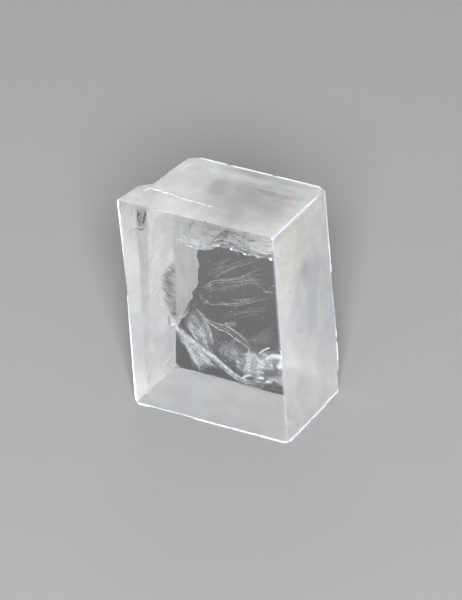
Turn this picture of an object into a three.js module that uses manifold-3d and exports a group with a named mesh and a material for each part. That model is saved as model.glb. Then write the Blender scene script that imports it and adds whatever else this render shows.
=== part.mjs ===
// A clear calcite cleavage rhomb (Iceland spar), one broken crystal standing on its small bottom face.
//
// Calcite splits along three planes, so every face of the block is a parallelogram with the same
// angles. All sizes below are measured along those three edge directions:
//   u  along the front edge, left to right      (0 at the left face, LENGTH at the right face)
//   v  along the bottom side edge, front to back (0 at the front face, DEPTH at the back face)
//   w  up the leaning upright edge               (0 at the bottom face, HEIGHT at the top face)
// The part's own frame is in millimetres with +Z up, +X along the front edge, and its origin at the
// centre of the unbroken bottom face.

import * as THREE from 'three';
import { mergeVertices } from 'three/addons/utils/BufferGeometryUtils.js';
import Module from 'manifold-3d';

// Driving dimensions (mm, degrees)

const LENGTH = 34.1;
const DEPTH = 21.2;
const HEIGHT = 45.1;
const CLEAVAGE_ANGLE = 101.92; // obtuse angle of every face, set by the mineral
const SIZE = [LENGTH, DEPTH, HEIGHT];

const OUTSIDE = 3.0; // how far a cutting solid reaches past the faces it cuts through

// The broken left side: a long splinter has gone from the upper left, leaning in towards the top
const FRONT_LIP = 6.4; // v where the front strip of the left face ends
const STEP_BACK = 8.3; // v where the step behind that strip ends
const SPLINTER_BACK = 19.9; // v where the splinter's face meets the chamfer of the back edge
const LIP_INSET = 0.95; // u lost at the front lip, at the top face
const STEP_INSET = 3.1; // u lost behind the step, at the top face
const SPLINTER_INSET = 4.1; // u lost at the chamfer, at the top face
const LEDGE_LEVEL = 24.4; // w of the small ledge half way up the front left edge
const LEDGE_INSET = 0.5; // u lost there
const LEDGE_STEP = 0.16;
const BREAK_LEVELS = 32; // cross sections up the height
const BREAK_ROUGHNESS = 0.16;

// The chamfer broken off the back left edge: how far it reaches along the back face, by height
const CHAMFER_REACH = [
    { level: 0.0, reach: -0.6 },
    { level: 8.5, reach: 0.0 },
    { level: 10.0, reach: 1.7 },
    { level: 13.6, reach: 3.3 },
    { level: 17.4, reach: 5.0 },
    { level: 20.1, reach: 6.8 },
    { level: 24.7, reach: 7.4 },
    { level: 32.1, reach: 8.0 },
    { level: 45.0, reach: 6.6 },
];
const CHAMFER_RAGGED = 0.55; // how far its edge on the back face wanders

// Shallow terraces, where thin flakes have split off a face along the cleavage.
// outline runs around the flake in the face's two edge directions; deep is its thickness at the
// step and thin is its thickness at the far side, along the face's second direction.
const FLAKES = [
    // front strip of the top face, ending at a faint step line
    {
        face: 'top',
        outline: [[3.0, -1.0], [18.2, -1.0], [17.8, 5.6], [12.6, 5.8], [3.2, 6.9]],
        thin: 0.02,
        deep: 0.2,
    },
    // river steps across the back face
    {
        face: 'back',
        outline: [
            [6.9, 19.6], [14.0, 22.8], [22.8, 27.4], [28.2, 31.0],
            [35.2, 33.8], [35.2, 46.2], [6.4, 46.2],
        ],
        thin: 0.1,
        deep: 0.03,
    },
    {
        face: 'back',
        outline: [[18.5, -1.0], [35.0, -1.0], [35.0, 7.6], [29.5, 5.2], [24.4, 4.4], [20.2, 1.6]],
        thin: 0.5,
        deep: 0.12,
    },
    {
        face: 'back',
        outline: [[29.0, 12.0], [35.0, 14.4], [35.0, 27.0], [31.6, 26.2], [30.4, 19.0]],
        thin: 0.16,
        deep: 0.3,
    },
    // stacked terraces low on the hidden left face
    {
        face: 'left',
        outline: [[9.0, 1.6], [22.2, 3.4], [22.2, 12.4], [15.4, 14.0], [11.2, 9.4]],
        thin: 0.14,
        deep: 0.1,
    },
    {
        face: 'left',
        outline: [[13.8, 2.6], [22.2, 3.6], [22.2, 8.2], [16.6, 8.8]],
        thin: 0.24,
        deep: 0.18,
    },
    {
        face: 'left',
        outline: [[-1.0, 5.0], [3.4, 6.2], [4.6, 12.8], [2.2, 18.2], [-1.0, 19.0]],
        thin: 0.05,
        deep: 0.14,
    },
    // low spall under the front face, left of the notch
    {
        face: 'bottom',
        outline: [[2.4, -1.0], [13.0, -1.0], [13.2, 0.5], [8.2, 0.35], [3.0, 0.2]],
        thin: 0.4,
        deep: 0.12,
    },
    // thin flakes off the right face, low at the back and along the bottom
    {
        face: 'right',
        outline: [[14.6, -1.0], [22.2, -1.0], [22.2, 5.4], [18.8, 4.2], [15.8, 1.4]],
        thin: 0.18,
        deep: 0.3,
    },
    {
        face: 'right',
        outline: [[19.9, 19.4], [22.2, 17.6], [22.2, 46.2], [17.6, 46.2], [18.7, 33.0]],
        thin: 0.05,
        deep: 0.44,
    },
    // round shell of broken skin at the back left of the top face
    {
        face: 'top',
        outline: [[5.0, 16.8], [5.2, 15.0], [6.6, 13.4], [8.6, 13.8], [9.4, 15.6], [8.4, 17.8], [6.2, 18.4]],
        thin: 0.3,
        deep: 0.06,
    },
    // long thin step along the top of the front face, right of the rough band
    {
        face: 'front',
        outline: [[24.6, 43.9], [31.0, 43.2], [35.0, 43.6], [35.0, 46.0], [25.2, 46.0]],
        thin: 0.03,
        deep: 0.14,
    },
];

const RAGGED_STEP = 0.9; // spacing of the points along a flake's ragged rim
const RAGGED_REACH = 0.34; // how far the rim wanders from its outline

// The rough band where a cleavage crack comes out through the front face, under the top edge
const OUTCROP = [
    { along: 13.4, level: 39.8 },
    { along: 17.0, level: 38.8 },
    { along: 19.8, level: 39.2 },
    { along: 22.3, level: 40.5 },
    { along: 24.5, level: 40.7 },
    { along: 34.1, level: 40.6 },
];
const CHIPS = 22; // flat chips gone from along the outcrop
const CHIP_SIZE = 0.62; // half length of an average chip
const CHIP_SHAPE = [1.5, 0.34, 0.7]; // its length, depth and height, as shares of that
const CHIP_SWAY = 0.7; // how far the chips wander up and down from the outcrop

// Cracks that run in from the faces. Each is a thin gap between two lines of places (u, v, w).
const CRACK_GAP = 0.2; // how far its walls have parted
const CRACK_RUN = 12; // steps along it
const CRACK_WIDTH = 2; // steps across it
const CRACK_LAP = 0.06; // how far it runs on past both lines, as a share of its width
const FOOT_UPPER = [
    [-0.8, 18.1, 13.7], [2.6, 17.0, 12.4], [5.1, 16.2, 11.4], [7.9, 15.4, 10.3], [10.7, 14.7, 9.4],
    [13.2, 13.9, 8.6], [15.1, 13.1, 7.8], [17.6, 12.3, 6.7], [20.7, 11.6, 6.2], [23.9, 10.8, 6.9],
];
const FOOT_LOWER = [
    [-0.8, 18.4, 12.1], [1.9, 17.5, 10.7], [4.2, 16.7, 9.5], [7.0, 15.9, 8.4], [9.8, 15.2, 7.4],
    [12.3, 14.4, 6.6], [14.4, 13.6, 5.9], [17.0, 12.8, 5.1], [20.1, 12.1, 4.8], [23.6, 11.3, 5.8],
];
const CREST = [
    [6.9, 14.0, 16.5], [8.5, 13.2, 19.0], [11.1, 12.4, 18.2], [13.0, 11.6, 17.3], [15.2, 10.8, 16.6],
    [18.0, 9.9, 16.4], [21.0, 9.2, 15.6], [23.6, 8.2, 14.6], [25.8, 7.2, 13.4],
];
const CRUMPLE_FOOT = [[19.2, 9.0, 9.0], [22.3, 8.2, 8.2], [26.4, 7.3, 8.3], [33.0, 6.5, 9.0]];
const CRACKS = [
    // the cleavage crack under the top face, which opens along the rough band
    {
        near: [
            [13.4, -0.7, 39.9], [17.0, -0.7, 38.8], [19.8, -0.7, 39.1],
            [22.3, -0.7, 40.6], [24.5, -0.7, 40.7], [28.8, -0.7, 40.7], [33.2, -0.7, 40.7],
        ],
        far: [
            [10.2, 18.4, 41.4], [13.6, 19.2, 41.3], [17.0, 19.4, 41.2], [21.0, 19.4, 41.2],
            [25.0, 19.4, 41.2], [29.0, 19.4, 41.1], [33.2, 19.2, 41.0],
        ],
    },
    // the foot of the great crack, open at the left face, and its shell up to the crest
    { near: FOOT_UPPER, far: FOOT_LOWER },
    { near: FOOT_UPPER.slice(1), far: CREST },
    // its steep arm, and the fan between that and the foot
    {
        near: FOOT_LOWER.slice(1, 6),
        far: [[1.9, 17.9, 9.2], [3.0, 17.8, 7.4], [4.6, 18.0, 5.4], [5.5, 18.2, 3.2], [6.6, 18.2, 1.8]],
    },
    // the crumpled crack on the right, and the ledge that joins it to the foot
    { near: [[20.0, 8.0, 13.6], [23.3, 7.2, 15.6], [27.5, 6.3, 17.3], [33.0, 5.5, 18.5]], far: CRUMPLE_FOOT },
    { near: CRUMPLE_FOOT, far: [[18.2, 12.1, 6.5], [20.7, 11.6, 6.2], [23.4, 10.9, 6.8], [28.0, 9.6, 7.6]] },
    // the hair-thin crack across the middle, which narrows to a short mouth in the right face
    {
        near: [
            [11.3, 14.0, 23.6], [15.0, 12.9, 25.6], [19.5, 11.3, 27.4],
            [24.1, 9.6, 29.7], [29.5, 6.2, 31.0], [34.8, 4.4, 31.35],
        ],
        far: [
            [11.6, 13.9, 21.0], [14.7, 12.0, 21.5], [18.2, 10.6, 22.7],
            [23.4, 8.6, 25.5], [29.0, 6.4, 29.6], [34.8, 4.3, 31.05],
        ],
    },
];

// Corners that have been knocked off: how much of each of the three edges is gone
const BLUNT_CORNERS = [
    { corner: [1, 1, 1], lost: [1.7, 1.1, 0.9] },
    { corner: [1, 0, 0], lost: [0.8, 0.9, 0.6] },
    { corner: [0, 0, 0], lost: [0.7, 0.8, 0.9] },
    { corner: [1, 1, 0], lost: [0.3, 0.5, 0.6] },
    { corner: [0, 0, 1], lost: [0.35, 0.3, 0.5] },
    { corner: [1, 0, 1], lost: [0.25, 0.3, 0.3] },
    { corner: [0, 1, 0], lost: [0.9, 0.6, 1.0] },
];

// Nicks along the edges: where the nick sits and how wide it is
const NICK_LIFT = 0.35; // how far out of the edge a nick's centre lies, as a share of its width
const NICK_TURN = 0.4; // radians between one nick's facets and the next one's
const NICKS = [
    { at: [LENGTH, 2.6, 0], wide: 0.5 },
    { at: [LENGTH, 9.4, 0], wide: 0.7 },
    { at: [LENGTH, 15.8, 0], wide: 0.45 },
    { at: [LENGTH, 0, 6.2], wide: 0.4 },
    { at: [LENGTH, 0, 20.6], wide: 0.55 },
    { at: [LENGTH, 0, 33.5], wide: 0.45 },
    { at: [LENGTH, DEPTH, 11.5], wide: 0.7 },
    { at: [LENGTH, DEPTH, 29.0], wide: 0.9 },
    { at: [LENGTH, DEPTH, 38.2], wide: 0.6 },
    { at: [LENGTH, 5.3, HEIGHT], wide: 0.5 },
    { at: [LENGTH, 13.2, HEIGHT], wide: 0.6 },
    { at: [8.4, 0, HEIGHT], wide: 0.5 },
    { at: [19.3, 0, HEIGHT], wide: 0.6 },
    { at: [28.8, 0, HEIGHT], wide: 0.45 },
    { at: [12.6, DEPTH, HEIGHT], wide: 0.8 },
    { at: [22.7, DEPTH, HEIGHT], wide: 0.6 },
    { at: [6.6, 0, 0], wide: 0.4 },
    { at: [21.4, 0, 0], wide: 0.5 },
    { at: [27.5, 0, 0], wide: 0.45 },
    { at: [8.2, DEPTH, 0], wide: 0.6 },
    { at: [24.6, DEPTH, 0], wide: 0.7 },
    { at: [0, 0, 9.7], wide: 0.45 },
    { at: [0, 0, 33.8], wide: 0.5 },
    { at: [0, 6.0, 0], wide: 0.6 },
    { at: [0, 14.2, 0], wide: 0.5 },
];

// The three edge directions, and the matrix from (u, v, w) to the part's frame

const lean = Math.cos(THREE.MathUtils.degToRad(CLEAVAGE_ANGLE));
const across = Math.sqrt(1 - lean * lean);
const alongLength = new THREE.Vector3(1, 0, 0);
const alongDepth = new THREE.Vector3(-lean, across, 0);
const uprightBack = (lean * lean - lean) / across;
const alongHeight = new THREE.Vector3(lean, uprightBack, Math.sqrt(1 - lean * lean - uprightBack ** 2));

const crystalFrame = new THREE.Matrix4().makeBasis(alongLength, alongDepth, alongHeight);
crystalFrame.setPosition(
    alongLength.clone().multiplyScalar(-LENGTH / 2).addScaledVector(alongDepth, -DEPTH / 2),
);

function place(u, v, w) {
    return new THREE.Vector3(u, v, w).applyMatrix4(crystalFrame);
}

// Solids for joining and cutting

const wasm = await Module();
wasm.setup();

function signedVolume(geometry) {
    const { position } = geometry.attributes;
    const corner = [0, 1, 2].map(() => new THREE.Vector3());
    let volume = 0;
    for (let i = 0; i < geometry.index.count; i += 3) {
        corner.forEach((point, k) => point.fromBufferAttribute(position, geometry.index.getX(i + k)));
        volume += corner[0].dot(corner[1].cross(corner[2])) / 6;
    }
    return volume;
}

function toSolid(source) {
    const geometry = source.clone();
    geometry.deleteAttribute('normal');
    geometry.deleteAttribute('uv');
    const merged = mergeVertices(geometry, 1e-5);
    const triangles = Uint32Array.from(merged.index.array);
    if (signedVolume(merged) < 0) {
        triangles.reverse();
    }
    return new wasm.Manifold(new wasm.Mesh({
        numProp: 3,
        vertProperties: Float32Array.from(merged.attributes.position.array),
        triVerts: triangles,
    }));
}

function toGeometry(solid) {
    const mesh = solid.getMesh();
    const geometry = new THREE.BufferGeometry();
    geometry.setAttribute('position', new THREE.BufferAttribute(mesh.vertProperties, 3));
    geometry.setIndex(new THREE.BufferAttribute(mesh.triVerts, 1));
    return geometry;
}

// A gentle unevenness between -1 and 1 that repeats nowhere on the crystal
function unevenness(a, b) {
    const broad = Math.sin(0.55 * a + 0.31 * b + 1.3) + Math.sin(0.27 * a - 0.62 * b + 4.1);
    const fine = Math.sin(1.63 * a + 0.9 * b) + Math.sin(1.1 * b - 2.05 * a + 2.2);
    return 0.3 * broad + 0.2 * fine;
}

// A value read off a list of stops by straight lines
function between(stops, key, value, x) {
    const last = stops[stops.length - 1];
    if (x >= last[key]) {
        return last[value];
    }
    const upper = Math.max(1, stops.findIndex((stop) => stop[key] > x));
    const [low, high] = [stops[upper - 1], stops[upper]];
    return THREE.MathUtils.mapLinear(x, low[key], high[key], low[value], high[value]);
}

// The rhomb as it split

function rhomb() {
    return new THREE.BoxGeometry(LENGTH, DEPTH, HEIGHT)
        .translate(LENGTH / 2, DEPTH / 2, HEIGHT / 2)
        .applyMatrix4(crystalFrame);
}

// A closed solid through cross sections of equal point counts, each a list of (u, v, w)
function loft(sections) {
    const ring = sections[0].length;
    const points = sections.flat().map(([u, v, w]) => place(u, v, w));
    const triangles = [];
    for (let level = 0; level < sections.length - 1; level += 1) {
        for (let i = 0; i < ring; i += 1) {
            const a = level * ring + i;
            const b = level * ring + (i + 1) % ring;
            triangles.push(a, b, b + ring, a, b + ring, a + ring);
        }
    }
    const flat = sections[0].map(([u, v]) => new THREE.Vector2(u, v));
    const top = (sections.length - 1) * ring;
    for (const [a, b, c] of THREE.ShapeUtils.triangulateShape(flat, [])) {
        triangles.push(a, c, b, top + a, top + b, top + c);
    }
    const geometry = new THREE.BufferGeometry().setFromPoints(points);
    geometry.setIndex(triangles);
    return geometry;
}

// The broken left side and the chamfered back edge

function leftInset(v, w) {
    const rise = w / HEIGHT;
    const dent = w > LEDGE_LEVEL
        ? THREE.MathUtils.mapLinear(w, LEDGE_LEVEL, HEIGHT, LEDGE_INSET, 0.04)
        : THREE.MathUtils.mapLinear(w, 0, LEDGE_LEVEL, -0.05, LEDGE_INSET - LEDGE_STEP);
    const ragged = CHAMFER_RAGGED * unevenness(0, 2.6 * w) * THREE.MathUtils.smoothstep(w, 8, 13);
    const chamfer = between(CHAMFER_REACH, 'level', 'reach', w) + ragged;
    const profile = [
        { v: -OUTSIDE, inset: dent },
        { v: 0, inset: dent },
        { v: FRONT_LIP, inset: LIP_INSET * rise + 0.4 * dent - 0.04 },
        { v: STEP_BACK, inset: STEP_INSET * rise - 0.04 },
        { v: SPLINTER_BACK, inset: SPLINTER_INSET * rise - 0.06 },
        { v: DEPTH, inset: Math.max(SPLINTER_INSET * rise - 0.06, chamfer) },
        { v: DEPTH + OUTSIDE, inset: SPLINTER_INSET * rise + 12.0 * rise },
    ];
    return between(profile, 'v', 'inset', v);
}

function leftBreak() {
    const depths = [-OUTSIDE, 0, 2.2, 4.4, FRONT_LIP, 7.4, STEP_BACK, 10.4, 12.8, 15.2, 17.6, SPLINTER_BACK];
    depths.push(20.6, DEPTH, DEPTH + OUTSIDE);
    const levels = [-OUTSIDE, LEDGE_LEVEL - 0.1, LEDGE_LEVEL + 0.1, HEIGHT, HEIGHT + OUTSIDE];
    for (let i = 1; i < BREAK_LEVELS; i += 1) {
        levels.push((HEIGHT * i) / BREAK_LEVELS);
    }
    levels.sort((a, b) => a - b);
    const sections = levels.map((w) => {
        const height = THREE.MathUtils.clamp(w, 0, HEIGHT);
        const inner = depths.map((v) => {
            const rough = BREAK_ROUGHNESS * (height / HEIGHT) * THREE.MathUtils.smoothstep(v, 1.0, FRONT_LIP);
            return [leftInset(v, height) + rough * unevenness(2.3 * v, height), v, w];
        });
        return [...inner, [-OUTSIDE, DEPTH + OUTSIDE, w], [-OUTSIDE, -OUTSIDE, w]];
    });
    return loft(sections);
}

// A thin flake to take off a face. Its inner side slopes from thin to deep along the second direction.

const FACES = {
    front: (s, t, n) => [s, n, t],
    back: (s, t, n) => [s, DEPTH - n, t],
    left: (s, t, n) => [n, s, t],
    right: (s, t, n) => [LENGTH - n, s, t],
    top: (s, t, n) => [s, t, HEIGHT - n],
    bottom: (s, t, n) => [s, t, n],
};

// The outline with its long sides broken up into a ragged rim
function ragged(outline) {
    return outline.flatMap(([s, t], index) => {
        const [nextS, nextT] = outline[(index + 1) % outline.length];
        const steps = Math.max(1, Math.round(Math.hypot(nextS - s, nextT - t) / RAGGED_STEP));
        return Array.from({ length: steps }, (_, step) => {
            const share = step / steps;
            const [a, b] = [s + (nextS - s) * share, t + (nextT - t) * share];
            const sway = [unevenness(3.1 * a, 2.7 * b), unevenness(2.9 * b, 3.3 * a + 5)];
            return [a + RAGGED_REACH * sway[0], b + RAGGED_REACH * sway[1]];
        });
    });
}

function flake({ face, outline, thin, deep }) {
    const shape = new THREE.Shape(ragged(outline).map(([s, t]) => new THREE.Vector2(s, t)));
    const geometry = new THREE.ExtrudeGeometry(shape, { depth: 1, bevelEnabled: false });
    const rows = outline.map(([, t]) => t);
    const [low, high] = [Math.min(...rows), Math.max(...rows)];
    const { position } = geometry.attributes;
    for (let i = 0; i < position.count; i += 1) {
        const [s, t] = [position.getX(i), position.getY(i)];
        const inner = THREE.MathUtils.mapLinear(t, low, high, thin, deep);
        const point = place(...FACES[face](s, t, position.getZ(i) > 0.5 ? inner : -OUTSIDE));
        position.setXYZ(i, point.x, point.y, point.z);
    }
    return geometry;
}

// A knocked-off corner: everything beyond the plane through the ends of what is lost of its edges

function bluntCorner({ corner, lost }) {
    const tip = corner.map((side, axis) => side * SIZE[axis]);
    const ends = [0, 1, 2].map((axis) => {
        const end = [...tip];
        end[axis] += corner[axis] ? -lost[axis] : lost[axis];
        return place(...end);
    });
    const plane = new THREE.Plane().setFromCoplanarPoints(...ends);
    if (plane.distanceToPoint(place(...tip)) < 0) {
        plane.negate();
    }
    const turn = new THREE.Quaternion().setFromUnitVectors(new THREE.Vector3(0, 0, 1), plane.normal);
    const block = 4 * Math.max(...lost);
    const [{ x, y, z }] = ends;
    return new THREE.BoxGeometry(2 * block, 2 * block, block)
        .translate(0, 0, block / 2)
        .applyQuaternion(turn)
        .translate(x, y, z);
}

// A nick: a small bite of flat facets, drawn out along its edge

function nick({ at, wide }, index) {
    const middle = place(LENGTH / 2, DEPTH / 2, HEIGHT / 2);
    const centre = place(...at);
    const directions = [alongLength, alongDepth, alongHeight];
    const edge = directions.find((_, axis) => at[axis] > 0 && at[axis] < SIZE[axis]);
    const outwards = centre.clone().sub(middle).projectOnPlane(edge).normalize();
    const turn = new THREE.Matrix4().makeBasis(edge, outwards, edge.clone().cross(outwards));
    return new THREE.OctahedronGeometry(wide)
        .rotateX(NICK_TURN * (index % 5))
        .scale(1.2 + 0.35 * (index % 4), 1, 1.1)
        .translate(0, NICK_LIFT * wide, 0)
        .applyMatrix4(turn.setPosition(centre));
}

// The chips along the outcrop, lying flat on the front face

function chip(index) {
    const along = THREE.MathUtils.lerp(OUTCROP[0].along, LENGTH - 0.6, index / (CHIPS - 1));
    const sway = CHIP_SWAY * unevenness(5.7 * index, 3.1 * index);
    const level = between(OUTCROP, 'along', 'level', along) + sway;
    const size = CHIP_SIZE * (1 + 0.5 * unevenness(2.3 * index + 4, 1.7 * index));
    const outwards = alongLength.clone().cross(alongHeight);
    const turn = new THREE.Matrix4().makeBasis(alongLength, outwards, alongLength.clone().cross(outwards));
    return new THREE.OctahedronGeometry(size)
        .scale(...CHIP_SHAPE)
        .rotateX(NICK_TURN * (index % 3))
        .rotateY(NICK_TURN * unevenness(index, 4.4 * index))
        .applyMatrix4(turn.setPosition(place(along, 0, level)));
}

// The gap of a crack: a sheet of even thickness, ruled between its two lines

function crack({ near, far }) {
    const [nearLine, farLine] = [near, far].map((stops) => (
        new THREE.CatmullRomCurve3(stops.map((stop) => place(...stop)), false, 'catmullrom')
    ));
    const middle = (run, width) => {
        const share = THREE.MathUtils.lerp(-CRACK_LAP, 1 + CRACK_LAP, width);
        return nearLine.getPoint(run).lerp(farLine.getPoint(run), share);
    };
    const wall = (run, width, side) => {
        const [before, after] = [Math.max(0, run - 0.01), Math.min(1, run + 0.01)];
        const lengthways = middle(after, width).sub(middle(before, width));
        const sideways = middle(run, 1).sub(middle(run, 0));
        const normal = lengthways.cross(sideways).normalize();
        return middle(run, width).addScaledVector(normal, (side * CRACK_GAP) / 2);
    };
    const ring = 2 * (CRACK_WIDTH + 1);
    const points = [];
    for (let step = 0; step <= CRACK_RUN; step += 1) {
        for (const side of [1, -1]) {
            for (let i = 0; i <= CRACK_WIDTH; i += 1) {
                const width = side > 0 ? i : CRACK_WIDTH - i;
                points.push(wall(step / CRACK_RUN, width / CRACK_WIDTH, side));
            }
        }
    }
    const triangles = [];
    for (let step = 0; step < CRACK_RUN; step += 1) {
        for (let i = 0; i < ring; i += 1) {
            const a = step * ring + i;
            const b = step * ring + ((i + 1) % ring);
            triangles.push(a, b, b + ring, a, b + ring, a + ring);
        }
    }
    const last = CRACK_RUN * ring;
    for (let i = 0; i < CRACK_WIDTH; i += 1) {
        const [a, b, c, d] = [i, i + 1, ring - 2 - i, ring - 1 - i];
        triangles.push(a, c, b, a, d, c, last + a, last + b, last + c, last + a, last + c, last + d);
    }
    const geometry = new THREE.BufferGeometry().setFromPoints(points);
    geometry.setIndex(triangles);
    return geometry;
}

const cracks = CRACKS.map(crack);
const chips = Array.from({ length: CHIPS }, (_, index) => chip(index));
const flakes = FLAKES.map(flake);
const corners = BLUNT_CORNERS.map(bluntCorner);
const nicks = NICKS.map(nick);
const cuts = [leftBreak(), ...flakes, ...cracks, ...chips, ...corners, ...nicks];
const crystal = cuts.reduce((solid, cut) => solid.subtract(toSolid(cut)), toSolid(rhomb()));

const clearCalcite = new THREE.MeshStandardMaterial({
    color: new THREE.Color(0.9, 0.91, 0.92),
    roughness: 0.06,
    metalness: 0,
    transparent: true,
    opacity: 0.4,
});

const calciteRhomb = new THREE.Mesh(toGeometry(crystal), clearCalcite);
calciteRhomb.name = 'calcite_rhomb';

const part = new THREE.Group();
part.add(calciteRhomb);

export default part;
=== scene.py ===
"""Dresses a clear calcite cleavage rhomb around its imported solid, for Blender 4.5.

Every length is in metres unless a name or a note says otherwise. The crystal's own directions are
u along the front edge from left to right, v from the front face to the back and w up the leaning
upright edge, and places in the crystal are given along them in millimetres.
"""

import logging
import math
import random
from collections.abc import Callable, Iterator
from contextlib import contextmanager
from dataclasses import dataclass, field
from enum import Enum

import bmesh
import bpy
from mathutils import Matrix, Vector
from mathutils.bvhtree import BVHTree


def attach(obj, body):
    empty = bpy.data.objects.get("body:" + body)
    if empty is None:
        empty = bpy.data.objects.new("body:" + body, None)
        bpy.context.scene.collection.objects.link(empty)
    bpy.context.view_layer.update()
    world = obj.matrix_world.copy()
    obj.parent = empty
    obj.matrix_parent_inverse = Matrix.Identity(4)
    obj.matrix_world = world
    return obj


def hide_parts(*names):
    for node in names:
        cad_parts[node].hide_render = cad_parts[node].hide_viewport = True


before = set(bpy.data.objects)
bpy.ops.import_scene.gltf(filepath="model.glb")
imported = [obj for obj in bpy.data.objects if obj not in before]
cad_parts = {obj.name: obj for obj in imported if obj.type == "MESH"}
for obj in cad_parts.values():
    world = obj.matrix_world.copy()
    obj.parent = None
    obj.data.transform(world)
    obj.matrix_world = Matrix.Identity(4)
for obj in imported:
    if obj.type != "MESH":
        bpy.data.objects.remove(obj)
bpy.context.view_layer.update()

log = logging.getLogger("calcite")

MM = 0.001
BODY = "root"
SOLID = "calcite_rhomb"

Piece = bpy.types.Object
Material = bpy.types.Material
Socket = bpy.types.NodeSocket
Colour = tuple[float, float, float, float]
Place = tuple[float, float, float]
WHITE: Colour = (1.0, 1.0, 1.0, 1.0)

# A facet's cosines with a face's normal: up to the first it isn't that face, from the second on it is
CLEAVAGE = (0.9945, 0.9975)
SLANTED = (0.9, 0.97)


# The crystal's own directions and faces


class Face(Enum):
    """The six cleavage faces."""

    FRONT = "front"
    BACK = "back"
    LEFT = "left"
    RIGHT = "right"
    TOP = "top"
    BOTTOM = "bottom"


@dataclass(frozen=True)
class Lattice:
    """The crystal's edge lengths and directions.

    Args:
        length: the front edge, in millimetres.
        depth: the bottom side edge.
        height: the leaning upright edge.
        cleavage_angle: the obtuse angle of every face, in degrees.
    """

    length: float = 34.1
    depth: float = 21.2
    height: float = 45.1
    cleavage_angle: float = 101.92

    @property
    def directions(self) -> tuple[Vector, Vector, Vector]:
        """The unit directions of u, v and w."""
        lean = math.cos(math.radians(self.cleavage_angle))
        across = math.sqrt(1 - lean * lean)
        back = (lean * lean - lean) / across
        up = math.sqrt(1 - lean * lean - back * back)
        return Vector((1, 0, 0)), Vector((-lean, across, 0)), Vector((lean, back, up))

    @property
    def corner(self) -> Vector:
        """Where u, v and w are all 0, in metres: the bottom front left corner."""
        along, deep, _ = self.directions
        return -0.5 * MM * (self.length * along + self.depth * deep)

    def point(self, u: float, v: float, w: float) -> Vector:
        """The place of a point given along the three edges.

        Args:
            u: millimetres from the left face.
            v: millimetres from the front face.
            w: millimetres up from the bottom face.

        Returns:
            The point in metres, in the part's frame.
        """
        along, deep, upright = self.directions
        return self.corner + MM * (u * along + v * deep + w * upright)

    def normal(self, face: Face) -> Vector:
        """The outward normal of a face.

        Args:
            face: the face.

        Returns:
            Its unit normal.
        """
        along, deep, upright = self.directions
        right = deep.cross(upright).normalized()
        back = upright.cross(along).normalized()
        top = along.cross(deep).normalized()
        return {
            Face.RIGHT: right,
            Face.LEFT: -right,
            Face.BACK: back,
            Face.FRONT: -back,
            Face.TOP: top,
            Face.BOTTOM: -top,
        }[face]

    def corner_on(self, face: Face) -> Vector:
        """A corner of the crystal that lies on the plane of a face.

        Args:
            face: the face.

        Returns:
            The corner in metres.
        """
        if face in (Face.BACK, Face.RIGHT, Face.TOP):
            return self.point(self.length, self.depth, self.height)
        return self.corner


LATTICE = Lattice()


@dataclass(frozen=True)
class Route:
    """A smooth line through the crystal.

    Args:
        stops: the places it passes, in millimetres along the three edges.
    """

    stops: tuple[Place, ...]

    @classmethod
    def even(cls, start: float, end: float, *stops: tuple[float, float]) -> "Route":
        """Makes a line whose depth changes evenly from stop to stop, to a tenth of a millimetre.

        Args:
            start: its depth at the first stop, v in millimetres.
            end: its depth at the last stop.
            stops: u and w of the places it passes, in millimetres.

        Returns:
            The line.
        """
        step = (end - start) / (len(stops) - 1)
        return cls(tuple((u, round(start + index * step, 1), w) for index, (u, w) in enumerate(stops)))

    def at(self, share: float) -> Vector:
        """A place on the line.

        Args:
            share: how far along it, from 0 to 1.

        Returns:
            The place in metres.
        """
        spans = len(self.stops) - 1
        first = min(int(share * spans), spans - 1)
        t = share * spans - first
        before, start, end, after = (
            LATTICE.point(*self.stops[max(0, min(spans, first + step))]) for step in (-1, 0, 1, 2)
        )
        bend = 2 * before - 5 * start + 4 * end - after
        twist = 3 * (start - end) + after - before
        return 0.5 * (2 * start + t * (end - before) + t * t * bend + t**3 * twist)


Edges = tuple[Route, Route]


# Shader maths as expressions


class Signal:
    """A value in a node tree, with Python's arithmetic."""

    def __init__(self, tree: bpy.types.NodeTree, socket: Socket) -> None:
        """Wraps a socket.

        Args:
            tree: the node tree.
            socket: the output socket that carries the value.
        """
        self.tree = tree
        self.socket = socket

    def _math(self, operation: str, *values: "Signal | float") -> "Signal":
        """Adds a Math node over values.

        Args:
            operation: what it does.
            values: what it does it to.

        Returns:
            The result.
        """
        node = self.tree.nodes.new("ShaderNodeMath")
        node.operation = operation
        for target, value in zip(node.inputs, values):
            if isinstance(value, Signal):
                self.tree.links.new(value.socket, target)
            else:
                target.default_value = value
        return Signal(self.tree, node.outputs[0])

    def __add__(self, other: "Signal | float") -> "Signal":
        """Sum."""
        return self._math("ADD", self, other)

    __radd__ = __add__

    def __sub__(self, other: "Signal | float") -> "Signal":
        """Difference."""
        return self._math("SUBTRACT", self, other)

    def __rsub__(self, other: float) -> "Signal":
        """Difference from a number."""
        return self._math("SUBTRACT", other, self)

    def __mul__(self, other: "Signal | float") -> "Signal":
        """Product."""
        return self._math("MULTIPLY", self, other)

    __rmul__ = __mul__

    def __truediv__(self, other: "Signal | float") -> "Signal":
        """Quotient."""
        return self._math("DIVIDE", self, other)

    def __pow__(self, other: "Signal | float") -> "Signal":
        """Power."""
        return self._math("POWER", self, other)

    def clamped(self) -> "Signal":
        """The value held between 0 and 1."""
        return self._math("MINIMUM", self._math("MAXIMUM", self, 0.0), 1.0)

    def size(self) -> "Signal":
        """The value without its sign."""
        return self._math("ABSOLUTE", self)

    def rise(self, low: float, high: float) -> "Signal":
        """A smooth step from 0 at low to 1 at high; it falls where low is above high.

        Args:
            low: where the step starts.
            high: where it ends.

        Returns:
            The step.
        """
        share = ((self - low) / (high - low)).clamped()
        return share * share * (3.0 - 2.0 * share)


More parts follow.
